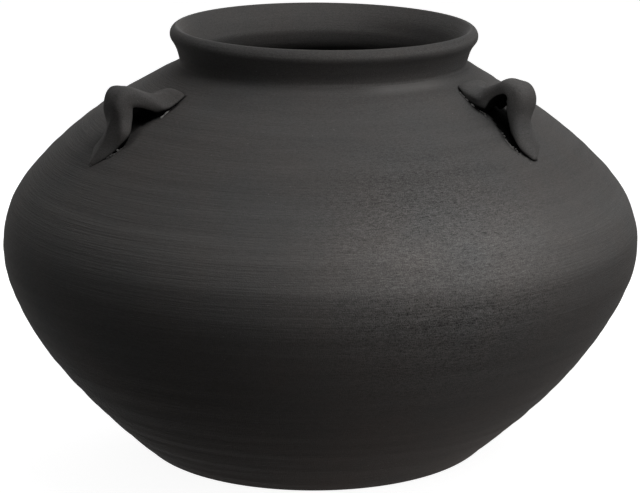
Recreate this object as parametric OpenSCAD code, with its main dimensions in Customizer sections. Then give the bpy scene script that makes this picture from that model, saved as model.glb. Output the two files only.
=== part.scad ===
// Wide wheel-thrown clay vase with a rolled rim and three strap lugs on its shoulder.
// Sizes are in millimetres, the foot stands at height 0 and the front faces -Y.
// A section through the wall is drawn as stations [radius, height, heading], where the
// heading is the way the wall runs there: 0 is outward along the table, 90 is straight up.

/* [Body] */
// Overall height, table to rim
height = 270; // [250:1:310]
// Diameter at the belly, the widest place
belly_d = 400; // [370:1:450]
// Height of the widest place above the table
belly_h = 135; // [120:1:150]
// Radius of the belly's rounding, seen in section
belly_r = 62; // [50:1:75]
// Degrees that the rounding runs below the widest place
belly_below = 20; // [14:0.5:28]
// Degrees that the rounding runs above the widest place
belly_above = 39.5; // [32:0.5:46]
// Slope of the shoulder where the neck begins, from level
shoulder_slope = 27.5; // [20:0.5:35]
// Thickness of the thrown wall
wall = 8; // [6:0.5:10]
// Depth of the ridge and groove that key each luted seam
seam_key = 3; // [1.5:0.5:4]

/* [Foot] */
// Diameter of the flat foot
foot_d = 197; // [170:1:230]
// Radius of the rounded foot edge
foot_edge_r = 16.5; // [14.5:0.5:22]
// Slope of the wall where it leaves the foot edge, from level
foot_slope = 41.5; // [35:0.5:50]
// Thickness of the floor
floor_t = 11; // [9:0.5:13]
// Width of the ring that the vase stands on
foot_ring_w = 20; // [12:1:40]
// Depth of the hollow turned under the floor
foot_hollow = 2; // [1:0.5:4]
// Width of the bevel round that hollow
foot_bevel = 3; // [1:0.5:6]

/* [Neck and rim] */
// Diameter at the waist of the neck
neck_d = 180; // [165:1:196]
// Height of the rim above the waist
neck_rise = 18.5; // [15:0.5:26]
// Radius of the hollow where the neck leaves the shoulder
neck_root_r = 9; // [5:0.5:12]
// Diameter over the rim
rim_d = 192; // [182:1:212]
// Radius of the rolled lip, on the outside
lip_r = 5.5; // [5:0.1:7]
// Radius of the lip's inner edge
lip_edge_r = 2; // [1:0.1:2.8]
// Slope of the flared neck under the lip, from level
flare_slope = 54; // [45:1:70]

/* [Lugs] */
// Degrees from the front to each of the two front lugs
lug_turn = 55.5; // [50:0.5:70]
// Diameter of the circle on the shoulder that the lugs' crests stand over
lug_ring_d = 259.5; // [252:0.5:268]
// Length of the strap from its crest up the shoulder, with the end that dives into the clay
lug_up = 43; // [36:1:46]
// Length of the strap from its crest down the shoulder, with the end that dives into the clay
lug_down = 54; // [44:1:62]
// Height of the strap's middle line above the shoulder, at its crest
lug_rise = 19; // [17:0.5:24]
// Distance from the crest to where each leg stands up
lug_leg = 13; // [12:0.5:16]
// Depth to which the strap's ends dive under the shoulder
lug_sink = 5.5; // [4.5:0.5:8]
// Width of the strap at its crest
strap_w = 22; // [16:0.5:26]
// Thickness of the strap at its crest
strap_t = 13; // [10:0.5:15]
// Width of the pressed feet
lug_foot_w = 30; // [24:0.5:36]
// Thickness of the strap at its ends
lug_foot_t = 7; // [5:0.5:9]
// Width of the strap at its ends
lug_tip_w = 14; // [8:0.5:18]

/* [Hidden] */
$fn = 180;
clay = [0.20, 0.19, 0.18];
clay_light = [0.27, 0.26, 0.25];
right_angle = 90;

// Vectors along a heading and to its left, which is the inside of the wall
function along(h) = [cos(h), sin(h)];
function leftward(h) = [-sin(h), cos(h)];
function place(s) = [s[0], s[1]];
function station(p, h) = [p[0], p[1], h];
function last(list) = list[len(list) - 1];
function rest(list) = [for (i = [1:len(list) - 1]) list[i]];
function backward(list) = [for (i = [len(list) - 1:-1:0]) list[i]];

// Arc that bulges outward round a centre, and one that is hollow
function bulge(c, r, h0, h1, n) =
    [for (i = [0:n]) let (h = h0 + (h1 - h0) * i / n) station(c - r * leftward(h), h)];
function hollow(c, r, h0, h1, n) =
    [for (i = [0:n]) let (h = h0 + (h1 - h0) * i / n) station(c + r * leftward(h), h)];

// Cubic curve through four values or points, and the way it runs
function cubic(a, b, c, d, t) =
    pow(1 - t, 3) * a + 3 * pow(1 - t, 2) * t * b + 3 * (1 - t) * t * t * c + t * t * t * d;
function cubic_run(a, b, c, d, t) =
    pow(1 - t, 2) * (b - a) + 2 * (1 - t) * t * (c - b) + t * t * (d - c);

// Wall that leaves one station and arrives at another in line with both
function wall_at(s0, s1, t) =
    let (a = place(s0), d = place(s1), reach = norm(d - a) / 3)
    let (b = a + reach * along(s0[2]), c = d - reach * along(s1[2]))
    let (run = cubic_run(a, b, c, d, t))
    station(cubic(a, b, c, d, t), atan2(run[1], run[0]));
function wall_run(s0, s1, n) = [for (i = [0:n]) wall_at(s0, s1, i / n)];

// Outer and inner faces of a stretch of wall
function outside(stations) = [for (s = stations) place(s)];
function inside(stations, t) = [for (s = stations) place(s) + t * leftward(s[2])];

// Bottom of the groove that keys the seam across the wall at a station
function groove(s) = place(s) + wall / 2 * leftward(s[2]) - seam_key * along(s[2]);

// Lower bowl: rounded foot edge, then the wall up to the widest place
foot_edge = bulge([foot_d / 2, foot_edge_r], foot_edge_r, 0, foot_slope, 5);
belly_c = [belly_d / 2 - belly_r, belly_h];
belly_low = bulge(belly_c, belly_r, right_angle - belly_below, right_angle, 5);
lower_wall = wall_run(last(foot_edge), belly_low[0], 12);
lower_path = concat(lower_wall, rest(belly_low));

// Shoulder: the rest of the belly's rounding, then the slope up to the neck
waist = station([neck_d / 2, height - neck_rise], right_angle);
root_c = place(waist) + [neck_root_r, 0];
neck_root = hollow(root_c, neck_root_r, 180 - shoulder_slope, right_angle, 6);
belly_high = bulge(belly_c, belly_r, right_angle, right_angle + belly_above, 8);
slope_start = last(belly_high);
slope_end = neck_root[0];
shoulder_path = concat(belly_high, rest(wall_run(slope_start, slope_end, 12)));

// Neck: hollow root, flare, rolled lip, and the tighter inner edge of the lip
lip_roll = lip_r - lip_edge_r;
edge_way = flare_slope + right_angle - acos((wall - lip_r - lip_edge_r) / lip_roll);
lip_c = [rim_d / 2 - lip_r, height - lip_edge_r - lip_roll * sin(edge_way)];
edge_c = lip_c + lip_roll * along(edge_way);
lip = bulge(lip_c, lip_r, flare_slope, edge_way + right_angle, 7);
lip_edge = bulge(edge_c, lip_edge_r, edge_way + right_angle, flare_slope + 180, 5);
neck_path = concat(neck_root, rest(wall_run(waist, lip[0], 6)));
lip_path = concat(rest(lip), rest(lip_edge));

// Thickness under the foot edge runs from the floor's to the wall's
function foot_inside(i) =
    let (s = foot_edge[i], t = floor_t + (wall - floor_t) * i / (len(foot_edge) - 1))
    place(s) + t * leftward(s[2]);
foot_inner = [for (i = [0:len(foot_edge) - 1]) foot_inside(i)];
ring_inner_r = foot_d / 2 - foot_ring_w;

// Thrown section of revolution from its closed outline
module thrown(outline) {
    rotate_extrude() polygon(outline);
}

// Solid inside the outer face of the shoulder and neck, for cutting the lugs' seats
module upper_mass() {
    face = concat(outside(shoulder_path), rest(outside(neck_path)), outside(lip_path));
    thrown(concat([[0, belly_h]], face, [[0, last(face)[1]]]));
}

// Place on the shoulder's slope that has a given radius, found by halving
function slope_place(r, low, high, halvings) =
    let (middle = (low + high) / 2)
    let (outer = wall_at(slope_start, slope_end, middle)[0] > r)
    halvings == 0 ? middle : slope_place(r, outer ? middle : low, outer ? high : middle, halvings - 1);

// Lug strap in the plane of the shoulder: X runs down the slope, Z stands out of it
lug_seat = wall_at(slope_start, slope_end, slope_place(lug_ring_d / 2, 0, 1, 20));
lug_steps = 28;
strap_sides = 16;
strap_square = 0.75;
// Pulls that shape the strap between its ends and its crest, as control values of a cubic
foot_w_pull = 2 * lug_foot_w - strap_w;
leg_w_pull = 0.7 * strap_w;
foot_t_pull = 1.1 * strap_t;
leg_t_pull = 0.85 * strap_t;
shoulder_bow = norm(place(slope_end) - place(slope_start)) / ((slope_end[2] - slope_start[2]) * PI / 180);
lug_knee = [-lug_leg, -lug_sink];
lug_spring = [-lug_leg, lug_rise];
lug_crest = [0, lug_rise];

function rounded(v) = sign(v) * pow(abs(v), strap_square);
// One ring of the strap: u runs from -1 at the upper end to 1 at the lower end
function strap_ring(u) =
    let (t = 1 - abs(u), flip = u > 0 ? -1 : 1)
    let (reach = u > 0 ? lug_down : lug_up)
    let (lug_tip = [-reach, -lug_sink - reach * reach / (2 * shoulder_bow)])
    let (p = cubic(lug_tip, lug_knee, lug_spring, lug_crest, t))
    let (run = cubic_run(lug_tip, lug_knee, lug_spring, lug_crest, t))
    let (lean = flip * atan2(run[1], run[0]))
    let (w = cubic(lug_tip_w, foot_w_pull, leg_w_pull, strap_w, t) / 2)
    let (h = cubic(lug_foot_t, foot_t_pull, leg_t_pull, strap_t, t) / 2)
    [for (j = [0:strap_sides - 1])
        let (a = 360 * j / strap_sides, q = h * rounded(sin(a)))
        [flip * p[0] - q * sin(lean), w * rounded(cos(a)), p[1] + q * cos(lean)]];

module strap() {
    rings = [for (i = [0:lug_steps]) strap_ring(2 * i / lug_steps - 1)];
    m = strap_sides;
    skin = [for (i = [0:lug_steps - 1]) for (j = [0:m - 1])
        let (k = (j + 1) % m)
        each [[i * m + j, (i + 1) * m + k, i * m + k], [i * m + j, (i + 1) * m + j, (i + 1) * m + k]]];
    upper_end = [for (j = [0:m - 1]) j];
    lower_end = [for (j = [m - 1:-1:0]) lug_steps * m + j];
    polyhedron([for (r = rings) each r], concat([upper_end, lower_end], skin), convexity = 6);
}

// Lug pressed on to the shoulder at a turn about the axis, its feet cut to the shoulder
module lug(turn) {
    difference() {
        rotate([0, 0, turn])
            translate([lug_seat[0], 0, lug_seat[1]])
                rotate([0, 180 - lug_seat[2], 0])
                    strap();
        upper_mass();
    }
}

// Foot, floor and lower wall, thrown in one and turned hollow underneath
module lower_bowl() {
    under = [[0, foot_hollow], [ring_inner_r - foot_bevel, foot_hollow], [ring_inner_r, 0]];
    outer = concat(outside(foot_edge), rest(outside(lower_path)));
    inner = concat(foot_inner, rest(inside(lower_path, wall)));
    color(clay)
        thrown(concat(under, outer, [groove(last(lower_path))], backward(inner), [[0, floor_t]]));
}

// Domed ring from the belly to the neck, thrown apart and luted on to the bowl
module shoulder() {
    outer = outside(shoulder_path);
    inner = inside(shoulder_path, wall);
    lower_key = groove(shoulder_path[0]);
    upper_key = groove(last(shoulder_path));
    color(clay_light)
        thrown(concat([lower_key], outer, [upper_key], backward(inner)));
}

// Flared neck with the rolled rim
module neck_collar() {
    outer = concat(outside(neck_path), outside(lip_path));
    inner = inside(neck_path, wall);
    color(clay)
        thrown(concat([groove(neck_path[0])], outer, backward(inner)));
}

module lug_left() {
    color(clay_light) lug(-right_angle - lug_turn);
}

module lug_right() {
    color(clay_light) lug(-right_angle + lug_turn);
}

module lug_back() {
    color(clay_light) lug(right_angle);
}

lower_bowl();
shoulder();
neck_collar();
lug_left();
lug_right();
lug_back();
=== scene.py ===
import math

import bmesh
import bpy
import numpy as np
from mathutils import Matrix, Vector, noise
from mathutils.bvhtree import BVHTree


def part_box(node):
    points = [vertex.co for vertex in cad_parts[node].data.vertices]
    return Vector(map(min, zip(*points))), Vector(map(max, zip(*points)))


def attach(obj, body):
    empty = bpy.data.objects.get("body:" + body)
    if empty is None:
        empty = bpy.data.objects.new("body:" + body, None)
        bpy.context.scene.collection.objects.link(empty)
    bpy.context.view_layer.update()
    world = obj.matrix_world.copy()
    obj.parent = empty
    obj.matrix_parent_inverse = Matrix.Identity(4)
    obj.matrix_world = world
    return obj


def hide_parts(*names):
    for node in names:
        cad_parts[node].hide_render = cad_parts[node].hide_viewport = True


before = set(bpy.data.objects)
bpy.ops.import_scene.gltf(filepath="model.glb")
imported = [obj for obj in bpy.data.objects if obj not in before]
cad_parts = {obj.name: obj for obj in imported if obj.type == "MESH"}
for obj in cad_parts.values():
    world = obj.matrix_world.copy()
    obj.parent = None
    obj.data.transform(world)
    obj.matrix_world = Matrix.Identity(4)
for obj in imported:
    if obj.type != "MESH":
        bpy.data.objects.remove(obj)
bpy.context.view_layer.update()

# Camera: stands in front of the vase and looks a little down on it through a long lens,
# so that the belly fills the picture from side to side.
mm = 0.001
view_down = math.radians(14.064)
view_aim = Vector((0, 0, 128 * mm))
view_distance = 1651.8 * mm
lens = bpy.data.cameras.new("camera")
lens.sensor_width = 36
lens.lens = 146.25
camera = bpy.data.objects.new("camera", lens)
camera.location = view_aim + view_distance * Vector((0, -math.cos(view_down), math.sin(view_down)))
camera.rotation_euler = (math.radians(90) - view_down, 0, 0)
bpy.context.scene.collection.objects.link(camera)
bpy.context.scene.camera = camera


# Lower bowl: the foot, the floor and the wall up to the belly, thrown on the wheel from one lump.
# It is dark smoked clay, left unglazed, and its underside is turned hollow once it is stiff.
# The outline of the whole pot is drawn here, because the shoulder and the neck carry it on.
belly_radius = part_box("lower_bowl")[1].x
belly_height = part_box("lower_bowl")[1].z
pot_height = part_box("neck_collar")[1].z
wall = 8 * mm
floor_thickness = 11 * mm
foot_radius = 98.5 * mm
foot_edge_radius = 16.5 * mm
foot_slope = 41.5
foot_hollow = 2 * mm
belly_rounding = 62 * mm
belly_below = 20
belly_above = 39.5
seam_key = 3 * mm
outer_step = 1.5 * mm
turns = 384
sharp_edge = math.radians(42)


def arc(centre, radius, start, end, step, bulging=True):
    """Stations of a round stretch of wall: radius, height and heading (0 runs outward, 90 runs up)."""
    count = max(3, round(abs(math.radians(end - start)) * radius / step))
    heading = np.radians(np.linspace(start, end, count + 1))
    side = radius if bulging else -radius
    return np.column_stack([centre[0] + side * np.sin(heading), centre[1] - side * np.cos(heading), heading])


def run(first, last, step):
    """Stations of a wall that leaves one station and arrives at another in line with both."""
    reach = np.linalg.norm(last[:2] - first[:2]) / 3
    ahead = first[:2] + reach * np.array([math.cos(first[2]), math.sin(first[2])])
    before = last[:2] - reach * np.array([math.cos(last[2]), math.sin(last[2])])
    t = np.linspace(0, 1, max(3, round(3 * reach / step)) + 1)[:, None]
    left = 1 - t
    place = left**3 * first[:2] + 3 * left**2 * t * ahead + 3 * left * t**2 * before + t**3 * last[:2]
    way = left**2 * (ahead - first[:2]) + 2 * left * t * (before - ahead) + t**2 * (last[:2] - before)
    return np.column_stack([place, np.arctan2(way[:, 1], way[:, 0])])


def inward(stations, depth):
    """Stations of the inner face, a depth to the left of the way that the wall runs."""
    moved = stations.copy()
    moved[:, 0] -= depth * np.sin(stations[:, 2])
    moved[:, 1] += depth * np.cos(stations[:, 2])
    return moved


def key(station):
    """Bottom of the groove that keys a luted seam across the wall."""
    middle = inward(station[None], wall / 2)[0]
    middle[:2] -= seam_key * np.array([math.cos(station[2]), math.sin(station[2])])
    return middle


foot_edge = arc((foot_radius, foot_edge_radius), foot_edge_radius, 0, foot_slope, outer_step)
belly_centre = (belly_radius - belly_rounding, belly_height)
belly_low = arc(belly_centre, belly_rounding, 90 - belly_below, 90, outer_step)
lower_wall = run(foot_edge[-1], belly_low[0], outer_step)
lower_outside = np.vstack([foot_edge, lower_wall[1:], belly_low[1:]])

# Outline of the shoulder: from the belly up to a tight crease under the neck
shoulder_slope = 27.5
neck_radius = 89.4 * mm
neck_rise = 22.6 * mm
neck_root_radius = 1.8 * mm
neck_slope = 74
root_centre = (neck_radius + neck_root_radius, pot_height - neck_rise)
crease_step = outer_step / 4
neck_root = arc(root_centre, neck_root_radius, 180 - shoulder_slope, neck_slope, crease_step, bulging=False)
belly_high = arc(belly_centre, belly_rounding, 90, 90 + belly_above, outer_step)
shoulder_outside = np.vstack([belly_high, run(belly_high[-1], neck_root[0], outer_step)[1:]])

# Outline of the neck: from the crease up a flare into the rolled lip, which ends in a tighter inner edge
rim_radius = 96 * mm
lip_radius = 5.5 * mm
lip_edge_radius = 2 * mm
flare_slope = 54
lip_roll = lip_radius - lip_edge_radius
edge_way = flare_slope + 90 - math.degrees(math.acos((wall - lip_radius - lip_edge_radius) / lip_roll))
to_edge = lip_roll * np.array([math.cos(math.radians(edge_way)), math.sin(math.radians(edge_way))])
lip_centre = np.array([rim_radius - lip_radius, pot_height - lip_edge_radius - to_edge[1]])
edge_centre = lip_centre + to_edge
lip = arc(lip_centre, lip_radius, flare_slope, edge_way + 90, outer_step / 2)
lip_edge = arc(edge_centre, lip_edge_radius, edge_way + 90, flare_slope + 180, outer_step / 3)
neck_wall = np.vstack([neck_root, run(neck_root[-1], lip[0], outer_step / 2)[1:]])
neck_outside = np.vstack([neck_wall, lip[1:], lip_edge[1:]])

# The hand's unevenness: the pot leans, its rim tilts, its crease lifts at the front, and it is out of round
lean_heights = np.array([0, 62, 140, 222, 250, 275]) * mm
lean_shifts = np.array([-3.6, -1.7, 0.2, -1.7, 2.1, 2.6]) * mm
rim_tilt = math.radians(0.6)
tilt_from = 222 * mm
tilt_to = 256 * mm
crease_lift = 1.6 * mm
crease_heights = (230 * mm, 247 * mm, 264 * mm)
lift_turn = math.radians(15)
oval_share, oval_phase = 0.0011, 0.6
three_lobed_share, three_lobed_phase = 0.0007, 2.1


def eased(t):
    """Smooth step from 0 to 1."""
    t = np.clip(t, 0, 1)
    return t * t * (3 - 2 * t)


def between(value, none, full):
    """Smooth step from 0 where the value is at none to 1 where it is at full."""
    return eased((value - none) / (full - none))


def lean(height):
    """How far the hand-thrown pot leans off its axis at a height."""
    spot = np.interp(height, lean_heights, np.arange(len(lean_heights)))
    low = np.minimum(spot.astype(int), len(lean_heights) - 2)
    return lean_shifts[low] + (lean_shifts[low + 1] - lean_shifts[low]) * eased(spot - low)


def hand_thrown(radius, height, turn):
    """Where a point of the true section lands on the pot, which is a little out of round, leans and tilts."""
    oval = oval_share * np.cos(2 * turn + oval_phase)
    out_of_round = 1 + oval + three_lobed_share * np.cos(3 * turn + three_lobed_phase)
    x = radius * out_of_round * np.sin(turn) + lean(height)
    y = -radius * out_of_round * np.cos(turn)
    z = height - math.tan(rim_tilt) * x * between(height, tilt_from, tilt_to)
    low, crease, high = crease_heights
    near_crease = between(height, low, crease) * between(height, high, crease)
    z = z + crease_lift * near_crease * (1 + np.cos(turn - lift_turn)) / 2
    return np.stack(np.broadcast_arrays(x, y, z), axis=-1)


ring_count = 16
ring_pitch_range = (4.5, 24)
ring_slope = 0.012
ring_start = 20 * mm
neck_smoothing = 0.6
neck_smoothing_reach = 15 * mm
ring_draw = np.random.default_rng(7)
ring_pitches = ring_draw.uniform(*ring_pitch_range, ring_count) * mm
ring_spirals = ring_draw.integers(-2, 3, ring_count)
ring_phases = ring_draw.uniform(0, 2 * math.pi, ring_count)


def throwing_rings(along, turn):
    """Shallow ridges that the potter's fingers leave, as a height over the wall."""
    rise = 0
    for pitch, spiral, phase in zip(ring_pitches, ring_spirals, ring_phases):
        wave = np.sin(2 * math.pi * along / pitch + spiral * turn + phase)
        rise = rise + ring_slope * pitch / (2 * math.pi) * wave
    return rise


turn_angles = np.arange(turns) * 2 * math.pi / turns
whole_outside = np.vstack([lower_outside, shoulder_outside[1:], neck_outside[1:]])
belly_row = len(lower_outside) - 1
neck_row = belly_row + len(shoulder_outside) - 1
path_steps = np.linalg.norm(np.diff(whole_outside[:, :2], axis=0), axis=1)
along_path = np.concatenate([[0], np.cumsum(path_steps)])
up_neck = (along_path - along_path[neck_row]) / neck_smoothing_reach
ring_fade = eased(along_path / ring_start) * (1 - neck_smoothing * eased(up_neck))
ring_rise = ring_fade[:, None] * throwing_rings(along_path[:, None], turn_angles[None])
ridged_radius = whole_outside[:, :1] + ring_rise * np.sin(whole_outside[:, 2:])
ridged_height = whole_outside[:, 1:2] - ring_rise * np.cos(whole_outside[:, 2:])
skin = hand_thrown(ridged_radius, ridged_height, turn_angles[None])
round_way = np.roll(skin, -1, axis=1) - np.roll(skin, 1, axis=1)
skin_normals = np.cross(round_way, np.gradient(skin, axis=0))
skin_normals /= np.linalg.norm(skin_normals, axis=2, keepdims=True)


def thrown_piece(name, outside_rows, inside, cap_points=()):
    """Closed mesh of one thrown piece: its rows of the pot's skin, then its inner face back to the start.
    Two cap points close it at the axis, underneath and inside, and with none it is a ring."""
    inner = hand_thrown(inside[:, :1], inside[:, 1:2], turn_angles[None])
    rows = np.concatenate([skin[outside_rows], inner])
    points = rows.reshape(-1, 3).tolist()
    faces = []
    pairs = [(i, i + 1) for i in range(len(rows) - 1)]
    if not cap_points:
        pairs.append((len(rows) - 1, 0))
    for a, b in pairs:
        for j in range(turns):
            k = (j + 1) % turns
            faces.append((a * turns + j, a * turns + k, b * turns + k, b * turns + j))
    for (radius, height), row, order in zip(cap_points, (0, len(rows) - 1), (1, -1)):
        points.append(hand_thrown(np.array(radius), np.array(height), np.array(0.0)).tolist())
        for j in range(turns):
            edge = (row * turns + (j + 1) % turns, row * turns + j)
            faces.append((len(points) - 1,) + edge[::order])
    mesh = bpy.data.meshes.new(name)
    mesh.from_pydata(points, [], faces)
    mesh.shade_smooth()
    mesh.set_sharp_from_angle(angle=sharp_edge)
    normals = np.zeros((len(points), 3))
    normals[:turns] = skin_normals[outside_rows][0] if not cap_points else 0
    last_row = len(skin[outside_rows]) - 1
    normals[last_row * turns : (last_row + 1) * turns] = skin_normals[outside_rows][-1]
    mesh.normals_split_custom_set_from_vertices(normals.tolist())
    piece = bpy.data.objects.new(name, mesh)
    bpy.context.scene.collection.objects.link(piece)
    return piece


def add(tree, kind, **settings):
    """Adds a node to a tree: settings that name an input set its value, the others set the node itself."""
    made = tree.nodes.new(kind)
    for setting, value in settings.items():
        if hasattr(made, setting):
            setattr(made, setting, value)
        else:
            made.inputs[setting.replace("_", " ")].default_value = value
    return made


def worked_out(tree, operation, first, second):
    """Math node on two values, each a socket or a number."""
    made = tree.nodes.new("ShaderNodeMath")
    made.operation = operation
    for socket, value in zip(made.inputs, (first, second)):
        if isinstance(value, (int, float)):
            socket.default_value = value
        else:
            tree.links.new(value, socket)
    return made.outputs[0]


def effect(name, inputs, outputs):
    """Empty node group with named sockets, and its two end nodes."""
    tree = bpy.data.node_groups.new(name, "ShaderNodeTree")
    for label, kind in inputs:
        tree.interface.new_socket(name=label, in_out="INPUT", socket_type=kind)
    for label, kind in outputs:
        tree.interface.new_socket(name=label, in_out="OUTPUT", socket_type=kind)
    return tree, tree.nodes.new("NodeGroupInput"), tree.nodes.new("NodeGroupOutput")


def around_axis(tree, per_metre, per_turn):
    """Four coordinates that run fast across the wall and slowly round the axis, with no seam."""
    place = add(tree, "ShaderNodeTexCoord")
    parts = add(tree, "ShaderNodeSeparateXYZ")
    tree.links.new(place.outputs["Object"], parts.inputs[0])
    flat = add(tree, "ShaderNodeCombineXYZ")
    tree.links.new(parts.outputs["X"], flat.inputs["X"])
    tree.links.new(parts.outputs["Y"], flat.inputs["Y"])
    radius = add(tree, "ShaderNodeVectorMath", operation="LENGTH")
    tree.links.new(flat.outputs[0], radius.inputs[0])
    spoke = add(tree, "ShaderNodeVectorMath", operation="NORMALIZE")
    tree.links.new(flat.outputs[0], spoke.inputs[0])
    spoke_parts = add(tree, "ShaderNodeSeparateXYZ")
    tree.links.new(spoke.outputs[0], spoke_parts.inputs[0])
    across = add(tree, "ShaderNodeCombineXYZ")
    tree.links.new(worked_out(tree, "MULTIPLY", radius.outputs["Value"], per_metre), across.inputs["X"])
    tree.links.new(worked_out(tree, "MULTIPLY", parts.outputs["Z"], per_metre), across.inputs["Y"])
    tree.links.new(worked_out(tree, "MULTIPLY", spoke_parts.outputs["X"], per_turn), across.inputs["Z"])
    return across.outputs[0], worked_out(tree, "MULTIPLY", spoke_parts.outputs["Y"], per_turn)


def lines_noise(tree, per_metre, per_turn, detail):
    """Noise drawn out into lines round the axis."""
    vector, fourth = around_axis(tree, per_metre, per_turn)
    made = add(tree, "ShaderNodeTexNoise", noise_dimensions="4D", Scale=1.0, Detail=detail, Roughness=0.55)
    tree.links.new(vector, made.inputs["Vector"])
    tree.links.new(fourth, made.inputs["W"])
    return made.outputs["Fac"]


# Lines that sand and fingertips draw round the turning clay: long fine ones, scratches and broad streaks
throwing_lines, _, ends = effect(
    "throwing_lines",
    [],
    [("Height", "NodeSocketFloat"), ("Scratch", "NodeSocketFloat"), ("Streak", "NodeSocketFloat")],
)
long_lines = lines_noise(throwing_lines, per_metre=900, per_turn=4.5, detail=2.0)
scratches = lines_noise(throwing_lines, per_metre=1300, per_turn=60.0, detail=1.0)
streaks = lines_noise(throwing_lines, per_metre=140, per_turn=1.6, detail=3.0)
throwing_lines.links.new(long_lines, ends.inputs["Height"])
throwing_lines.links.new(scratches, ends.inputs["Scratch"])
throwing_lines.links.new(streaks, ends.inputs["Streak"])

# Sand in the clay: a fine grain, and a few pale grains that show at the surface
cells_without_grain = 0.9
sand_grain, _, ends = effect(
    "sand_grain", [], [("Height", "NodeSocketFloat"), ("Speck", "NodeSocketFloat")]
)
sand_place = add(sand_grain, "ShaderNodeTexCoord")
fine_sand = add(sand_grain, "ShaderNodeTexNoise", Scale=1500.0, Detail=2.0, Roughness=0.6)
sand_grain.links.new(sand_place.outputs["Object"], fine_sand.inputs["Vector"])
sand_grain.links.new(fine_sand.outputs["Fac"], ends.inputs["Height"])
pale_sand = add(sand_grain, "ShaderNodeTexVoronoi", Scale=240.0)
sand_grain.links.new(sand_place.outputs["Object"], pale_sand.inputs["Vector"])
near_grain = add(sand_grain, "ShaderNodeMapRange", From_Min=0.13, From_Max=0.05)
sand_grain.links.new(pale_sand.outputs["Distance"], near_grain.inputs["Value"])
cell_draw = add(sand_grain, "ShaderNodeSeparateColor")
sand_grain.links.new(pale_sand.outputs["Color"], cell_draw.inputs[0])
few_cells = worked_out(sand_grain, "GREATER_THAN", cell_draw.outputs["Red"], cells_without_grain)
shown_grains = worked_out(sand_grain, "MULTIPLY", near_grain.outputs["Result"], few_cells)
sand_grain.links.new(shown_grains, ends.inputs["Speck"])

# Painted highlight: the belly is paler in a band all round and most of all in a patch at the front right,
# where the lamps' sheen falls; in the patch the sand's contrast is raised too, in place of sheen on its
# grains
highlight_middle = (75 * mm, -185 * mm, 158 * mm)
highlight_reach = (110 * mm, 20 * mm)
band_over = (206 * mm, 160 * mm)
band_under = (134 * mm, 156 * mm)
band_paleness = 0.2
patch_paleness = 1.1


def faded(tree, value, none, full, most=1.0):
    """Smooth step of a value, from 0 at none to the most at full."""
    made = add(tree, "ShaderNodeMapRange", interpolation_type="SMOOTHSTEP", From_Min=none, From_Max=full)
    made.inputs["To Max"].default_value = most
    tree.links.new(value, made.inputs["Value"])
    return made.outputs["Result"]


painted_belly_highlight, _, ends = effect(
    "painted_belly_highlight", [], [("Share", "NodeSocketFloat"), ("Pale", "NodeSocketFloat")]
)
patch_place = add(painted_belly_highlight, "ShaderNodeTexCoord")
patch_distance = add(painted_belly_highlight, "ShaderNodeVectorMath", operation="DISTANCE")
patch_distance.inputs[1].default_value = highlight_middle
painted_belly_highlight.links.new(patch_place.outputs["Object"], patch_distance.inputs[0])
in_patch = faded(painted_belly_highlight, patch_distance.outputs["Value"], *highlight_reach)
painted_belly_highlight.links.new(in_patch, ends.inputs["Share"])
patch_parts = add(painted_belly_highlight, "ShaderNodeSeparateXYZ")
painted_belly_highlight.links.new(patch_place.outputs["Object"], patch_parts.inputs[0])
# Painted highlight: a paler band round the belly, paler still in the patch at the front right
band_top = faded(painted_belly_highlight, patch_parts.outputs["Z"], *band_over, most=band_paleness)
band_low = faded(painted_belly_highlight, patch_parts.outputs["Z"], *band_under)
band = worked_out(painted_belly_highlight, "MULTIPLY", band_top, band_low)
paler = worked_out(painted_belly_highlight, "ADD", worked_out(painted_belly_highlight, "MULTIPLY", in_patch, patch_paleness), 1.0)
painted_belly_highlight.links.new(worked_out(painted_belly_highlight, "MULTIPLY", band, paler), ends.inputs["Pale"])

# Smoke in the firing: the black is uneven, a little browner in soft patches
smoke_mottle, smoke_inputs, ends = effect(
    "smoke_mottle",
    [("Black", "NodeSocketColor"), ("Brown", "NodeSocketColor")],
    [("Colour", "NodeSocketColor")],
)
smoke_place = add(smoke_mottle, "ShaderNodeTexCoord")
patches = add(smoke_mottle, "ShaderNodeTexNoise", Scale=17.0, Detail=5.0, Roughness=0.6)
smoke_mottle.links.new(smoke_place.outputs["Object"], patches.inputs["Vector"])
patch_share = add(smoke_mottle, "ShaderNodeMapRange", From_Min=0.35, From_Max=0.68)
smoke_mottle.links.new(patches.outputs["Fac"], patch_share.inputs["Value"])
patch_mix = add(smoke_mottle, "ShaderNodeMix", data_type="RGBA")
smoke_mottle.links.new(patch_share.outputs["Result"], patch_mix.inputs["Factor"])
smoke_mottle.links.new(smoke_inputs.outputs["Black"], patch_mix.inputs[6])
smoke_mottle.links.new(smoke_inputs.outputs["Brown"], patch_mix.inputs[7])
smoke_mottle.links.new(patch_mix.outputs[2], ends.inputs["Colour"])

# The clay's colours, and how much of each effect shows in it
black_clay = (0.073, 0.072, 0.071, 1)
brown_clay = (0.080, 0.075, 0.072, 1)
pale_sand_colour = (0.18, 0.175, 0.17, 1)
scuff_and_highlight_colour = (0.2, 0.195, 0.19, 1)
shade_colour = (0.003, 0.003, 0.003, 1)
clay_roughness = (0.74, 0.92)
pale_sand_share = 0.5
scratch_share = 0.6
patch_sand = 1.6
noise_middle = 0.5


def covered(tree, below, colour, share):
    """Lays a colour over another, by a share that changes over the surface."""
    made = add(tree, "ShaderNodeMix", data_type="RGBA")
    made.inputs[7].default_value = colour
    tree.links.new(share, made.inputs["Factor"])
    tree.links.new(below, made.inputs[6])
    return made.outputs[2]


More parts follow.
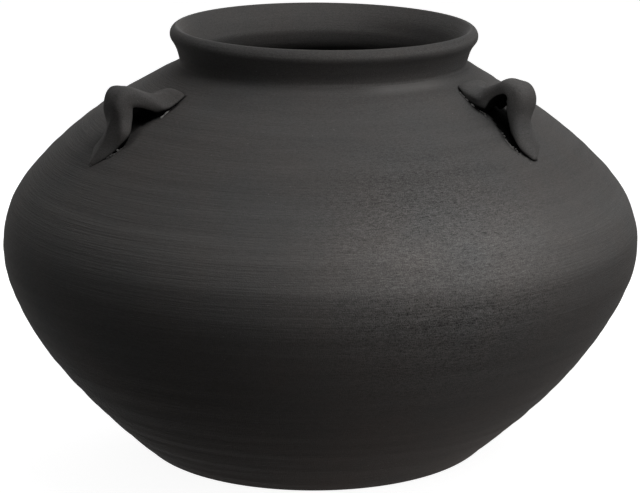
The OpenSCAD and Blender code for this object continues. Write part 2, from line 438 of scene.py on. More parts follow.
def smoked_clay(name, line_relief, grain_relief, streak_share, sand_share, highlight_and_sand_share, shine=0.05):
    """Unglazed dark clay: mottled colour, streaks, scratches and sand, with painted shade where the piece's
    mesh marks it, paler crumbs and painted highlights where the mesh marks them, a painted highlight round
    the belly, and a relief of lines and sand."""
    material = bpy.data.materials.new(name)
    material.use_nodes = True
    tree = material.node_tree
    shader = tree.nodes["Principled BSDF"]
    shader.inputs["Specular IOR Level"].default_value = shine
    lines = add(tree, "ShaderNodeGroup", node_tree=throwing_lines)
    grain = add(tree, "ShaderNodeGroup", node_tree=sand_grain)
    patch = add(tree, "ShaderNodeGroup", node_tree=painted_belly_highlight)
    smoke = add(tree, "ShaderNodeGroup", node_tree=smoke_mottle)
    smoke.inputs["Black"].default_value = black_clay
    smoke.inputs["Brown"].default_value = brown_clay
    off_middle = worked_out(tree, "SUBTRACT", lines.outputs["Streak"], noise_middle)
    streak = worked_out(tree, "MULTIPLY", off_middle, streak_share)
    scratch = worked_out(tree, "MULTIPLY", lines.outputs["Scratch"], scratch_share)
    scratched = worked_out(tree, "ADD", scratch, grain.outputs["Height"])
    rubbed = worked_out(tree, "SUBTRACT", scratched, noise_middle * (1 + scratch_share))
    # Painted highlight on the belly: the patch raises the sand's contrast, and the band and patch lighten the
    # tone
    more_sand = worked_out(tree, "MULTIPLY", patch.outputs["Share"], patch_sand * highlight_and_sand_share)
    sandy = worked_out(tree, "ADD", more_sand, sand_share)
    lightened = worked_out(tree, "ADD", worked_out(tree, "MULTIPLY", patch.outputs["Pale"], highlight_and_sand_share), 1.0)
    grainy = worked_out(tree, "MULTIPLY", rubbed, sandy)
    tone = worked_out(tree, "ADD", grainy, worked_out(tree, "ADD", streak, lightened))
    toned = add(tree, "ShaderNodeMix", data_type="RGBA", blend_type="MULTIPLY")
    toned.inputs["Factor"].default_value = 1
    tree.links.new(smoke.outputs["Colour"], toned.inputs[6])
    tree.links.new(tone, toned.inputs[7])
    speck = worked_out(tree, "MULTIPLY", grain.outputs["Speck"], pale_sand_share)
    specked = covered(tree, toned.outputs[2], pale_sand_colour, speck)
    # Paler crumbs of clay and painted highlights, where the mesh marks them
    scuff_and_highlight = add(tree, "ShaderNodeAttribute", attribute_name="scuff_and_highlight")
    scuffed_and_highlighted = covered(tree, specked, scuff_and_highlight_colour, scuff_and_highlight.outputs["Fac"])
    # Painted shade: the colour goes toward near black where the mesh marks it
    painted_shade = add(tree, "ShaderNodeAttribute", attribute_name="painted_shade")
    shaded = covered(tree, scuffed_and_highlighted, shade_colour, painted_shade.outputs["Fac"])
    tree.links.new(shaded, shader.inputs["Base Color"])
    rough = add(tree, "ShaderNodeMapRange", To_Min=clay_roughness[0], To_Max=clay_roughness[1])
    tree.links.new(grain.outputs["Height"], rough.inputs["Value"])
    tree.links.new(rough.outputs["Result"], shader.inputs["Roughness"])
    drawn_lines = worked_out(tree, "MULTIPLY", lines.outputs["Height"], line_relief)
    raised_grain = worked_out(tree, "MULTIPLY", grain.outputs["Height"], grain_relief)
    bump = add(tree, "ShaderNodeBump", Strength=1.0, Distance=1 * mm)
    tree.links.new(worked_out(tree, "ADD", drawn_lines, raised_grain), bump.inputs["Height"])
    tree.links.new(bump.outputs["Normal"], shader.inputs["Normal"])
    return material


def finish_piece(piece, node, material):
    """Gives a piece its clay and sets it in the place of its plain solid."""
    piece.data.materials.append(material)
    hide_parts(node)
    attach(piece, "root")


thrown_clay = smoked_clay(
    "thrown_clay", line_relief=0.31, grain_relief=0.2, streak_share=0.35, sand_share=0.7, highlight_and_sand_share=1.5
)
foot_depths = np.linspace(floor_thickness, wall, len(foot_edge))[:, None]
foot_inside = np.vstack([inward(s[None], d) for s, d in zip(foot_edge, foot_depths)])
lower_inside = np.vstack([foot_inside, inward(np.vstack([lower_wall[1::2], belly_low[1:]]), wall)])
bowl_loop = np.vstack([[key(belly_low[-1])], lower_inside[::-1]])
lower_bowl = thrown_piece(
    "hand_thrown_bowl",
    slice(0, belly_row + 1),
    bowl_loop,
    cap_points=((0, foot_hollow), (0, floor_thickness)),
)
finish_piece(lower_bowl, "lower_bowl", thrown_clay)


# Shoulder: the domed ring from the belly to the neck, thrown apart and luted on to the bowl.
# The same smoked clay; the seam is wiped away with a wet finger, so the wall runs on unbroken.
shoulder_inside = inward(shoulder_outside[::-2], wall)
shoulder_loop = np.vstack([[key(shoulder_outside[-1])], shoulder_inside, [key(shoulder_outside[0])]])
shoulder = thrown_piece("hand_thrown_shoulder", slice(belly_row, neck_row + 1), shoulder_loop)
finish_piece(shoulder, "shoulder", thrown_clay)


# Neck: the short flared collar with its rolled rim, thrown on to the shoulder from a coil.
# The lip is folded outward and rounded with a wet cloth, and its inner edge stays tighter.
neck_loop = np.vstack([inward(neck_wall[::-1], wall)[1:], [key(neck_root[0])]])
neck_clay = smoked_clay(
    "wiped_clay", line_relief=0.2, grain_relief=0.2, streak_share=0.35, sand_share=0.8, highlight_and_sand_share=0
)
neck = thrown_piece("hand_thrown_neck", slice(neck_row, len(whole_outside)), neck_loop)
finish_piece(neck, "neck_collar", neck_clay)


# Lugs: three straps of the same clay, each pulled from a wet roll, bent over a finger into a loop
# and pressed on to the shoulder at both ends. The thumb smears the far side of each foot into the wall;
# the near side keeps a ragged seam with a burr and crumbs of clay.
lug_clay = smoked_clay(
    "pulled_clay", line_relief=0.05, grain_relief=0.25, streak_share=0.2, sand_share=0.8, highlight_and_sand_share=0
)
front_turn = 55.5
back_turn = 180
strap_sides = 48
strap_steps = 6
strap_squareness = 0.65
strap_voxel = 0.7 * mm
strap_wipes = 5
strap_wipe_share = 0.5
strap_ends = np.radians([90, 70, 50, 30, 15])
wall_tilt = (0.52, 0.854)
flank_from = -0.5
thinned_by = 4
finger_dent = 0.35 * mm
finger_spacing = 9 * mm
seam_steps = 24
burr_sides = 8
burr_away = 1.0 * mm
burr_thickness = 1.2 * mm
burr_lumps = 2.6 * mm
burr_least, burr_usual, burr_uneven = 0.1, 0.55, 0.9
burr_tilt = 0.7
burr_sunk = 0.25
burr_wander = 0.5 * mm
burr_wander_spacing = 4 * mm
burr_wander_start = Vector((9, 0, 0))
crumb_sizes = (0.35 * mm, 0.95 * mm)
crumb_spacing = 2.4 * mm
crumb_scatter = 0.6 * mm
crumb_dent = 0.35
crumb_dents_across = 0.9
crumb_flatness = 0.75
scuff_spacing = 3.2 * mm
scuff_contrast = 2.5
scuff_middle = 0.25
least_scuff = 0.02
crumb_draw = np.random.default_rng(11)


def through(rows, per):
    """Smooth run of values through given rows."""
    rows = np.array(rows, float)
    rows = np.vstack([2 * rows[0] - rows[1], rows, 2 * rows[-1] - rows[-2]])
    t = np.linspace(0, 1, per, endpoint=False)[:, None]
    parts = []
    for a, b, c, d in zip(rows, rows[1:], rows[2:], rows[3:]):
        bend = a - 2.5 * b + 2 * c - d / 2
        twist = 1.5 * (b - c) + (d - a) / 2
        parts.append(b + (c - a) * t / 2 + bend * t**2 + twist * t**3)
    return np.vstack(parts + [rows[-2:-1]])


def on_shoulder(turn, radius):
    """Point of the shoulder's outside at a turn in degrees and a radius."""
    height = np.interp(radius, shoulder_outside[::-1, 0], shoulder_outside[::-1, 1])
    return Vector(hand_thrown(np.array(radius), np.array(height), np.array(math.radians(turn))).tolist())


def blob(mesh, middle, size, seed):
    """Adds one crumb of clay: a small lump, dented at random."""
    lump = bmesh.ops.create_icosphere(mesh, subdivisions=2, radius=size)
    for vert in lump["verts"]:
        dent = 1 + crumb_dent * noise.noise(vert.co / size * crumb_dents_across + Vector((seed, 2 * seed, 0)))
        vert.co = middle + Vector((vert.co.x * dent, vert.co.y * dent, vert.co.z * dent * crumb_flatness))


def ragged_seam(mesh, points, away):
    """Burr and crumbs that the pressed foot squeezes out along its near edge, on the shoulder."""
    line = through(points, seam_steps)
    path = [on_shoulder(turn + math.degrees(away / radius), radius) for turn, radius in line * (1, mm)]
    rings = []
    for i, middle in enumerate(path):
        ahead = (path[min(i + 1, len(path) - 1)] - path[max(i - 1, 0)]).normalized()
        out = Vector((middle.x, middle.y, burr_tilt * math.hypot(middle.x, middle.y))).normalized()
        side = ahead.cross(out).normalized()
        lumps = burr_usual + burr_uneven * noise.noise(middle / burr_lumps)
        thick = burr_thickness * max(burr_least, lumps)
        shift = burr_wander * noise.noise(middle / burr_wander_spacing + burr_wander_start)
        ring = []
        for k in range(burr_sides):
            angle = k * 2 * math.pi / burr_sides
            sideways = shift + thick * math.cos(angle)
            outward = thick * math.sin(angle) - burr_sunk * thick
            ring.append(mesh.verts.new(middle + side * sideways + out * outward))
        rings.append(ring)
    for low, high in zip(rings, rings[1:]):
        for k in range(burr_sides):
            q = (k + 1) % burr_sides
            mesh.faces.new((low[k], low[q], high[q], high[k]))
    mesh.faces.new(rings[0][::-1])
    mesh.faces.new(rings[-1])
    length = sum((b - a).length for a, b in zip(path, path[1:]))
    for seed in range(round(length / crumb_spacing)):
        middle = path[crumb_draw.integers(len(path))]
        aside = Vector(crumb_draw.normal(0, crumb_scatter, 3).tolist())
        blob(mesh, middle + aside, crumb_draw.uniform(*crumb_sizes), seed)


def pulled_strap(name, turn, near, scuffing, stations, seams):
    """One lug: its strap along given stations in the upright plane at a turn, and its ragged seams.
    near is 1 where the side to the camera is the way the turn grows, and -1 where it is the other way."""
    turn = math.radians(turn)
    out = np.array([math.sin(turn), -math.cos(turn), 0])
    to_near = near * np.array([math.cos(turn), math.sin(turn), 0])
    up = np.array([0, 0, 1])
    off_wall = wall_tilt[0] * out + wall_tilt[1] * up
    rows = through(stations, strap_steps)
    way = np.gradient(rows[:, [0, 2]], axis=0)
    way /= np.linalg.norm(way, axis=1, keepdims=True)
    angle = np.arange(strap_sides) * 2 * math.pi / strap_sides
    across = np.sign(np.cos(angle)) * np.abs(np.cos(angle)) ** strap_squareness
    over = np.sign(np.sin(angle)) * np.abs(np.sin(angle)) ** strap_squareness
    near_side = np.maximum(across, 0)
    far_side = np.maximum(-across, 0)
    above = np.maximum(over, 0)
    below = np.maximum(-over, 0)
    places = [(0, -math.sin(a), math.cos(a)) for a in strap_ends]
    places += [(i, 0, 1) for i in range(len(rows))]
    places += [(len(rows) - 1, math.sin(a), math.cos(a)) for a in strap_ends[::-1]]
    mesh = bmesh.new()
    rings = []
    for place, past_end, fullness in places:
        reach, aside, rise, near_half, far_half, crown, under, bank, droop, flank = rows[place]
        thinning = min(1, droop / thinned_by)
        way_out, way_up = way[place]
        bank = math.radians(bank)
        along = way_out * out + way_up * up
        top = -way_up * out + way_out * up
        wide = math.cos(bank) * to_near + math.sin(bank) * top
        thick = math.cos(bank) * top - math.sin(bank) * to_near
        w = near_half * near_side - far_half * far_side + flank * below * (across > flank_from)
        h = crown * above * (1 - thinning * far_side) - under * below
        middle = reach * out + aside * to_near + rise * up + past_end * crown * along
        smear = -droop * eased(far_side)[:, None] * off_wall
        spots = middle + fullness * (w[:, None] * wide + h[:, None] * thick + smear)
        rings.append([mesh.verts.new(spot) for spot in spots * mm])
    for low, high in zip(rings, rings[1:]):
        for k in range(strap_sides):
            q = (k + 1) % strap_sides
            mesh.faces.new((low[k], low[q], high[q], high[k]))
    mesh.faces.new(rings[0][::-1])
    mesh.faces.new(rings[-1])
    bmesh.ops.recalc_face_normals(mesh, faces=mesh.faces)
    rough = bpy.data.meshes.new(name + "_rough")
    mesh.to_mesh(rough)
    mesh.free()
    shaping = bpy.data.objects.new(name + "_rough", rough)
    bpy.context.scene.collection.objects.link(shaping)
    remesh = shaping.modifiers.new("one_skin", "REMESH")
    remesh.mode = "VOXEL"
    remesh.voxel_size = strap_voxel
    wiped_and_highlight = shaping.modifiers.new("wiped_and_highlight", "SMOOTH")
    wiped_and_highlight.factor = strap_wipe_share
    wiped_and_highlight.iterations = strap_wipes
    shaped = shaping.evaluated_get(bpy.context.evaluated_depsgraph_get())
    mesh = bmesh.new()
    mesh.from_mesh(shaped.data)
    bpy.data.objects.remove(shaping)
    mesh.normal_update()
    for vert in mesh.verts:
        vert.co += vert.normal * finger_dent * noise.noise(vert.co / finger_spacing)
    smooth_count = len(mesh.verts)
    for points in seams:
        ragged_seam(mesh, points, near * burr_away)
    strap = bpy.data.meshes.new(name)
    mesh.to_mesh(strap)
    mesh.free()
    scuff_and_highlight = strap.attributes.new("scuff_and_highlight", "FLOAT", "POINT")
    patches = np.array([noise.noise(vert.co / scuff_spacing) for vert in strap.vertices])
    patchy = np.clip(scuff_contrast * patches + scuff_middle, 0, 1).tolist()
    lightened = [max(least_scuff, scuffing * p) if i >= smooth_count else 0 for i, p in enumerate(patchy)]
    scuff_and_highlight.data.foreach_set("value", lightened)
    strap.shade_smooth()
    piece = bpy.data.objects.new(name, strap)
    bpy.context.scene.collection.objects.link(piece)
    return piece


# Left lug. Each station of a strap gives, in mm and degrees: reach from the axis, shift to the near side,
# height, half widths to the near and the far side, half thicknesses over and under the middle, bank, droop of
# the smeared far side, and how far the near flank spreads below (less than nothing is an undercut).
# Each point of a seam gives its turn in degrees and its distance from the axis in mm.
lug_left = pulled_strap(
    "pulled_lug_left",
    turn=-front_turn,
    near=1,
    scuffing=1.0,
    stations=[
        (107, 3.5, 238.4, 8.5, 9.5, 2.4, 3, -6, 0, -1),
        (109, 3.2, 237.9, 9.5, 10, 2.8, 4, -8, 0, -1),
        (113, 2.5, 236.5, 10.5, 10.2, 3.4, 6, -14, 0.5, -2),
        (120, 2, 235.9, 12, 11.5, 4.0, 7, -24, 3, -1),
        (127, 1, 237.2, 11, 11, 4.4, 5.2, -15, 5.5, 0),
        (134, 0.3, 238.8, 10.5, 10.5, 5.2, 5.4, -6, 7, 0),
        (142.0, 0, 240.0, 10.5, 10, 6.6, 7, 0, 0, 0),
        (146.2, 0, 236.8, 10, 9.5, 6.6, 8, 2, 0, 0),
        (146.4, -0.5, 228.0, 10.5, 11, 4.8, 7.5, 0, 0.5, 0),
        (147.4, -3, 219.5, 15, 23, 4.6, 5.5, 0, 10.5, -1),
        (151.4, -3, 211.4, 11.5, 26, 4.0, 5.0, -4, 7.5, -1),
        (156.0, -4.5, 205.2, 8.5, 21, 3.2, 4.5, -4, 6, -2),
        (160.5, -6.5, 200.2, 5, 10, 2.0, 3.0, -2, 4, -1),
    ],
    seams=[
        [(-51.8, 105.5), (-50.5, 109.8), (-50.1, 116.5), (-49.6, 123.7)],
        [(-52, 145.8), (-53.2, 151.8), (-55.3, 156.7), (-57.8, 161.8)],
    ],
)
finish_piece(lug_left, "lug_left", lug_clay)

# Right lug: rounder over the top, and its near side stands upright on the wall along a deep seam
lug_right = pulled_strap(
    "pulled_lug_right",
    turn=front_turn,
    near=-1,
    scuffing=0.2,
    stations=[
        (102.5, -5.5, 240.8, 7, 9.5, 2.6, 3, -5, 0, 1),
        (106.5, -5.8, 240.4, 9, 11.5, 3.2, 4.5, -9, 0, 2),
        (112.5, -5.5, 239.0, 9.5, 12, 4.0, 7.5, -16, 2, 3),
        (119, -4.5, 238.2, 9.5, 11.5, 4.8, 8.5, -20, 7, 2.5),
        (125, -3.5, 240.2, 9, 11, 5.2, 5, -12, 11, 0),
        (131.5, -2, 242.4, 9, 11, 5.4, 3.6, -2, 14, 0),
        (139.6, -0.5, 244.8, 9.5, 10.5, 6.2, 4.6, 0, 2, 0),
        (144.9, 0, 240.4, 8.5, 10.5, 6.8, 8, 0, 0, 0),
        (144.6, -0.5, 230.0, 8.5, 12, 5.0, 7.5, 0, 0.5, -1),
        (145.4, -3, 221.0, 11.5, 22, 4.8, 6.5, -2, 11, -3),
        (149.0, -2, 212.6, 11, 24, 4.2, 5.0, -3, 8, -4),
        (151.8, -1, 208.2, 8, 19, 3.2, 4.5, -3, 6.5, -3),
        (155, 0.5, 204.4, 3.5, 10, 2.0, 3.0, -2, 4, -0.5),
    ],
    seams=[
        [(54.4, 103.5), (54.2, 108.3), (54.6, 114.8), (55.2, 120.5), (54.6, 125)],
        [(54.0, 137), (52.9, 141.5), (52.5, 149), (53.9, 155.5)],
    ],
)
finish_piece(lug_right, "lug_right", lug_clay)

# Back lug: behind the neck, out of the photograph's sight, and pulled like the other two
lug_back = pulled_strap(
    "pulled_lug_back",
    turn=back_turn,
    near=1,
    scuffing=0.6,
    stations=[
        (103.5, 0, 239.4, 7, 8, 2.4, 3, 0, 0, -1),
        (107, 0, 238.6, 9, 10, 3.0, 4, 0, 0, -2),
        (113, 0, 236.6, 10.5, 10.5, 3.6, 6, 0, 0, -2),
        (120, 0, 235.2, 11, 10.5, 4.2, 7, 0, 0, -1),
        (127, 0, 237.2, 10.5, 10.5, 4.8, 5.5, 0, 0, 0),
        (134, 0, 239.8, 10.5, 10.5, 5.2, 5.5, 0, 0, 0),
        (141, 0, 240.6, 10.5, 10.5, 6.4, 7, 0, 0, 0),
        (145.8, 0, 236.8, 10.5, 10.5, 6.8, 8, 0, 0, 0),
        (145.8, 0, 228.0, 10.5, 12, 5.0, 7.5, 0, 0.5, 0),
        (146.4, -2, 219.5, 12.5, 22, 4.8, 6, 0, 10, -1),
        (150.2, -2, 211.5, 12, 25, 4.2, 5.0, -3, 7.5, -2),
        (155.0, -1.5, 205.8, 9, 20, 3.2, 4.5, -3, 6, -3),
        (159.5, -1, 201.0, 4.5, 11, 2.0, 3.0, -2, 3, -1),
    ],
    seams=[
        [(182.6, 102.5), (185.2, 109.8), (185.5, 116.5), (185.4, 122)],
        [(184.6, 146), (184.2, 151.8), (182.8, 156.7), (181.0, 160.5)],
    ],
)
finish_piece(lug_back, "lug_back", lug_clay)


# Painted shade: the clay is painted darker, up to near black, where shade falls: in the eyes, along the
# crevices of the feet, round the neck, under the lip and inside. Where it lies thick, the clay has no shine,
# so no reflection shows there either.
# Each mesh stores it by vertex, and a pair of values runs from where there is none to where it is full.
shade_reach = 17 * mm
shade_rays = 24
golden_turn = 2.39996
shade_lift = 0.4 * mm
clear_share = 0.17
shut_range = 0.3
thick_shade = 0.6
# A copy of the lugs' clay with no shine, for faces deep in painted shade
shaded_clay = smoked_clay(
    "shaded_clay",
    line_relief=0.05,
    grain_relief=0.25,
    streak_share=0.2,
    sand_share=0.8,
    highlight_and_sand_share=0,
    shine=0.0,
)
shade_ways = []
for i in range(shade_rays):
    lift = math.sqrt((i + 0.5) / shade_rays)
    flat_out = math.sqrt(1 - lift * lift)
    shade_ways.append((flat_out * math.cos(golden_turn * i), flat_out * math.sin(golden_turn * i), lift))
wall_points = skin[belly_row : neck_row + 1].reshape(-1, 3)
wall_normals = skin_normals[belly_row : neck_row + 1].reshape(-1, 3)
near_points = wall_points.tolist()
near_faces = []
for a in range(neck_row - belly_row):
    for j in range(turns):
        k = (j + 1) % turns
        near_faces.append((a * turns + j, a * turns + k, (a + 1) * turns + k, (a + 1) * turns + j))
for lug in (lug_left, lug_right, lug_back):
    start = len(near_points)
    near_points += [vert.co for vert in lug.data.vertices]
    near_faces += [tuple(start + i for i in face.vertices) for face in lug.data.polygons]
nearby = BVHTree.FromPolygons(near_points, near_faces)


def shade_at(point, normal):
    """How much painted shade a point gets, from how much of its outlook is shut in by clay close by."""
    aside = normal.orthogonal().normalized()
    across = normal.cross(aside)
    shut = 0
    for a, b, c in shade_ways:
        hit = nearby.ray_cast(point + shade_lift * normal, a * aside + b * across + c * normal, shade_reach)
        if hit[0] is not None:
            shut += 1 - (hit[3] / shade_reach) ** 2
    return float(eased((shut / shade_rays - clear_share) / shut_range))


def hold_shade(mesh, places):
    """Stores painted shade on a mesh, by vertex number. Faces thick with it get the clay that doesn't shine.
    """
    amounts = np.zeros(len(mesh.vertices), np.float32)
    for number, amount in places.items():
        amounts[number] = amount
    mesh.attributes.new("painted_shade", "FLOAT", "POINT").data.foreach_set("value", amounts)
    thick = [face for face in mesh.polygons if min(amounts[i] for i in face.vertices) > thick_shade]
    if thick:
        mesh.materials.append(shaded_clay)
    for face in thick:
        face.material_index = 1


# Eyes: the edge of the painted shade on the wall runs along the near seam, by distance from the axis in mm
# and turn; the outer share is how much of that painted shade the wall keeps along the outer foot, as far as
# its end in mm
eyes = [
    dict(
        lug=lug_left,
        turn=-front_turn,
        near=1,
        edge=[(123.7, -51.2), (145.8, -54)],
        outer_share=0.5,
        outer_end=148,
    ),
    dict(
        lug=lug_right,
        turn=front_turn,
        near=-1,
        edge=[(121, 55.2), (134, 52.3), (140, 52.3), (146, 51.8), (153, 52.7)],
        outer_share=1,
        outer_end=155,
    ),
    dict(
        lug=lug_back,
        turn=back_turn,
        near=1,
        edge=[(122, 185.4), (146, 184.6)],
        outer_share=0.5,
        outer_end=148,
    ),
]
eye_reach = 133 * mm
eye_height = 229 * mm
eye_sizes = (20, 15)
eye_facing = (-0.05, 0.3)
crown_highlight = 0.06
crown_facing = (0.5, 0.8)
crown_heights = (238, 246)
for eye in eyes:
    mesh = eye["lug"].data
    turn = math.radians(eye["turn"] + eye["near"])
    eye_middle = Vector((eye_reach * math.sin(turn), -eye_reach * math.cos(turn), eye_height))
    scuffs_and_highlights = mesh.attributes["scuff_and_highlight"].data
    places = {}
    for vert in mesh.vertices:
        if scuffs_and_highlights[vert.index].value == 0:
            to_eye = eye_middle - vert.co
            # Painted shade: strap faces that look into the eye, or are shut in by clay close by, are darkened
            facing = between(vert.normal.dot(to_eye.normalized()), *eye_facing)
            in_eye = float(facing * between(to_eye.length / mm, *eye_sizes))
            places[vert.index] = max(in_eye, shade_at(vert.co, vert.normal))
            # Painted highlight: the top of the strap is paler where it faces up
            on_crown = between(vert.normal.z, *crown_facing) * between(vert.co.z / mm, *crown_heights)
            scuffs_and_highlights[vert.index].value = crown_highlight * on_crown
    hold_shade(mesh, places)

# Painted shade on the wall under the eyes, to a soft edge on the far side, then round the neck and inside the
# shoulder
eye_turns = 25
near_fade = 2.5
far_fade = 12
far_edges = [(110, 16), (122, 32), (138, 32), (150, 6)]
inner_end = (110, 115)
outer_fade = 5
outer_foot = (130, 136)
less_shade_under = 0.6
neck_share = 0.13
neck_radii = (114, 100)
inside_share = 0.5
inside_heights = (170, 220)
shaded_wall = {}
for i, (point, normal) in enumerate(zip(wall_points, wall_normals)):
    radius = math.hypot(point[0], point[1]) / mm
    turn = math.degrees(math.atan2(point[0], -point[1])) % 360
    per_degree = math.radians(radius)
    for eye in eyes:
        aside = eye["near"] * ((turn - eye["turn"] + 180) % 360 - 180)
        if abs(aside) < eye_turns:
            edge = eye["near"] * (np.interp(radius, *zip(*eye["edge"])) - eye["turn"])
            far_edge = np.interp(radius, *zip(*far_edges))
            # The painted shade is kept lighter along the outer foot where the outer share is below 1
            less_shade = (1 - eye["outer_share"]) * between(radius, *outer_foot)
            under = eased((edge - aside) * per_degree / near_fade)
            under *= eased((aside * per_degree + far_edge) / far_fade)
            under *= between(radius, *inner_end) * eased((eye["outer_end"] - radius) / outer_fade)
            crevice = shade_at(Vector(point), Vector(normal))
            shaded_wall[i] = float(max(crevice * (1 - less_shade), under * (1 - less_shade_under * less_shade)))
for vert in shoulder.data.vertices:
    if vert.normal.z > 0:
        held = neck_share * between(math.hypot(vert.co.x, vert.co.y) / mm, *neck_radii)
    else:
        held = inside_share * between(vert.co.z / mm, *inside_heights)
    shaded_wall[vert.index] = max(shaded_wall.get(vert.index, 0), float(held))
hold_shade(shoulder.data, shaded_wall)

# Painted shade on the neck: darker under its lip, on top of the lip except at the left, low down inside and
# on the right of the mouth; painted light makes the mouth's upper inner wall paler on the left
under_lip, under_lip_heights, lip_bulge = 0.45, (246, 255), (267, 263)
less_at_sides, lip_sides = 0.4, (55, 85)
lip_top, lip_top_heights, lip_top_sides = 0.18, (265, 268), (-70, -10)
throat, throat_heights = 0.5, (254.5, 250.5)
mouth, mouth_heights, mouth_sides = 0.32, (264, 256), (15, 65)
mouth_light, lit_heights, lit_sides = 0.11, (252.5, 255.5), (70, 0)
neck_shade = {}
lit_mouth = np.zeros(len(neck.data.vertices), np.float32)
for vert in neck.data.vertices:
    height, side = vert.co.z / mm, vert.co.x / mm
    if vert.normal.x * vert.co.x + vert.normal.y * vert.co.y > 0:
        # Painted shade under the lip and on the lip's top
        held = under_lip * between(height, *under_lip_heights) * between(height, *lip_bulge)
        held *= 1 - less_at_sides * between(abs(side), *lip_sides)
        held = max(held, lip_top * between(height, *lip_top_heights) * between(side, *lip_top_sides))
    else:
        # Painted shade low inside and on the right of the mouth
        held = mouth * between(height, *mouth_heights) * between(side, *mouth_sides)
        held = max(held, throat * between(height, *throat_heights))
        # Painted light: the upper inner wall of the mouth is paler on the left, where light falls in
        lightened = between(height, *lit_heights) * between(side, *lit_sides)
        lit_mouth[vert.index] = mouth_light * lightened
    neck_shade[vert.index] = float(held)
hold_shade(neck.data, neck_shade)
neck.data.attributes.new("scuff_and_highlight", "FLOAT", "POINT").data.foreach_set("value", lit_mouth)

# Painted highlight: the crease under the neck is paler for a hand's breadth at the front right, where the
# lamps glint on it
crease_highlight_share = 0.3
crease_highlight_radii = (100, 94)
highlight_start = (12, 26)
highlight_end = (60, 40)
wiped_and_highlight = np.zeros(len(shoulder.data.vertices), np.float32)
for vert in shoulder.data.vertices:
    radius = math.hypot(vert.co.x, vert.co.y) / mm
    turn = math.degrees(math.atan2(vert.co.x, -vert.co.y))
    if vert.normal.z > 0:
        along_crease = between(turn, *highlight_start) * between(turn, *highlight_end)
        wiped_and_highlight[vert.index] = crease_highlight_share * between(radius, *crease_highlight_radii) * along_crease
shoulder.data.attributes.new("scuff_and_highlight", "FLOAT", "POINT").data.foreach_set("value", wiped_and_highlight)


# Floor: a plain pale surface, white to the eye, that keeps a soft contact shadow of the vase.
# For the rays that light the clay it does not reflect; it glows a little, warm, as painted light in place of
# the light that a floor throws back.
floor_radius = 6.0
floor_sides = 64
floor_grey = (0.5, 0.5, 0.5, 1)
floor_white = (1, 1, 1, 1)
warm_bounce = (1, 0.86, 0.8, 1)
floor_mesh = bpy.data.meshes.new("floor")
floor_turns = np.linspace(0, 2 * math.pi, floor_sides, endpoint=False)
floor_corners = [(floor_radius * math.sin(a), floor_radius * math.cos(a), 0) for a in floor_turns]
floor_mesh.from_pydata(floor_corners, [], [tuple(range(floor_sides))[::-1]])
floor = bpy.data.objects.new("floor", floor_mesh)
bpy.context.scene.collection.objects.link(floor)
floor_material = bpy.data.materials.new("pale_floor")
floor_material.use_nodes = True
tree = floor_material.node_tree
tree.nodes.clear()


def seen_rays(tree):
    """1 for rays that see the background: from the camera, a mirror or glass."""
    rays = tree.nodes.new("ShaderNodeLightPath")
    seen = worked_out(tree, "MAXIMUM", rays.outputs["Is Camera Ray"], rays.outputs["Is Glossy Ray"])
    return worked_out(tree, "MAXIMUM", seen, rays.outputs["Is Transmission Ray"])


end = tree.nodes.new("ShaderNodeOutputMaterial")
bounce_glow = add(tree, "ShaderNodeEmission", Color=warm_bounce)
lit = add(tree, "ShaderNodeBsdfDiffuse", Color=floor_grey)
glow = add(tree, "ShaderNodeEmission", Color=floor_white)
floor_place = add(tree, "ShaderNodeTexCoord")
floor_distance = add(tree, "ShaderNodeVectorMath", operation="LENGTH")
tree.links.new(floor_place.outputs["Object"], floor_distance.inputs[0])

# The white is a little weaker close to the vase, in metres from its axis
away = add(tree, "ShaderNodeMapRange", From_Min=0.2, From_Max=0.6, To_Min=0.93, To_Max=1.0)
tree.links.new(floor_distance.outputs["Value"], away.inputs["Value"])
tree.links.new(away.outputs["Result"], glow.inputs["Strength"])

# Painted light: the warm glow that stands in for light thrown back is stronger on the lamps' side and close
# to the foot
floor_parts = add(tree, "ShaderNodeSeparateXYZ")
tree.links.new(floor_place.outputs["Object"], floor_parts.inputs[0])
lamp_side = add(tree, "ShaderNodeMapRange", From_Min=-0.14, From_Max=0.26, To_Min=0.0, To_Max=0.22)
tree.links.new(floor_parts.outputs["X"], lamp_side.inputs["Value"])
near_foot = add(tree, "ShaderNodeMapRange", From_Min=0.12, From_Max=0.24, To_Min=2.4, To_Max=0.75)
tree.links.new(floor_distance.outputs["Value"], near_foot.inputs["Value"])
bounce = worked_out(tree, "MULTIPLY", lamp_side.outputs["Result"], near_foot.outputs["Result"])
tree.links.new(bounce, bounce_glow.inputs["Strength"])

# Rays that see the floor find it white, and the others find its warm glow, painted light in place of what it
# would throw back
white = tree.nodes.new("ShaderNodeAddShader")
tree.links.new(lit.outputs[0], white.inputs[0])
tree.links.new(glow.outputs[0], white.inputs[1])
by_ray = tree.nodes.new("ShaderNodeMixShader")
tree.links.new(seen_rays(tree), by_ray.inputs[0])
tree.links.new(bounce_glow.outputs[0], by_ray.inputs[1])
tree.links.new(white.outputs[0], by_ray.inputs[2])
tree.links.new(by_ray.outputs[0], end.inputs["Surface"])
floor_mesh.materials.append(floor_material)


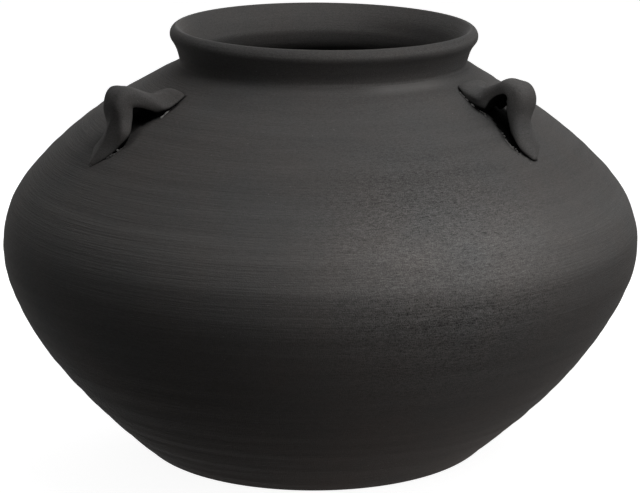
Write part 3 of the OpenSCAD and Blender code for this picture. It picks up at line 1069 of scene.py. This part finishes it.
# Light: plain soft boxes, the strongest high at the front right and others round the right side. Small weak
# ones fill in low at the front and at the left, and two behind light the far side.
# The surround is white to the eye and nearly dark to the clay.
lamp_aim = Vector((0, 0, 150 * mm))


def soft_box(name, turn, rise, distance, size, watts):
    """Square lamp that faces the vase, at a turn from the front and a rise above the belly."""
    lamp = bpy.data.lights.new(name, "AREA")
    lamp.energy = watts
    lamp.size = size
    turn, rise = math.radians(turn), math.radians(rise)
    way = Vector((math.cos(rise) * math.sin(turn), -math.cos(rise) * math.cos(turn), math.sin(rise)))
    holder = bpy.data.objects.new(name, lamp)
    holder.location = lamp_aim + distance * way
    holder.rotation_euler = way.to_track_quat("Z", "Y").to_euler()
    holder.visible_camera = False
    bpy.context.scene.collection.objects.link(holder)


# Turn and rise in degrees, distance and size in metres, then watts
soft_box("top_lamp", 30, 60, 0.7, 0.35, 1.75)
soft_box("front_top_lamp", 0, 70, 0.8, 0.4, 0.46)
soft_box("right_top_lamp", 60, 60, 0.7, 0.35, 0.59)
soft_box("right_lamp", 60, 30, 0.7, 0.35, 0.55)
soft_box("far_right_lamp", 90, 35, 0.7, 0.35, 0.41)
soft_box("low_right_lamp", 60, -8, 0.75, 0.08, 0.15)
soft_box("low_front_lamp", 20, 2, 0.4, 0.2, 0.065)
soft_box("belly_lamp", 30, 12, 0.36, 0.12, 0.063)
soft_box("front_lamp", -8, 13, 0.36, 0.12, 0.022)
soft_box("left_lamp", -50, 12, 0.4, 0.2, 0.05)
soft_box("back_lamp", 180, 22, 0.9, 0.5, 2.0)
soft_box("back_left_lamp", -135, 25, 0.9, 0.5, 0.8)

surround_on_clay = 0.01
world = bpy.data.worlds.new("surround")
bpy.context.scene.world = world
world.use_nodes = True
tree = world.node_tree
sky = tree.nodes["Background"]
sky.inputs["Color"].default_value = (1, 1, 1, 1)
strength = add(tree, "ShaderNodeMapRange", To_Min=surround_on_clay, To_Max=1.0)
tree.links.new(seen_rays(tree), strength.inputs["Value"])
tree.links.new(strength.outputs["Result"], sky.inputs["Strength"])

bpy.context.scene.view_settings.view_transform = "Standard"
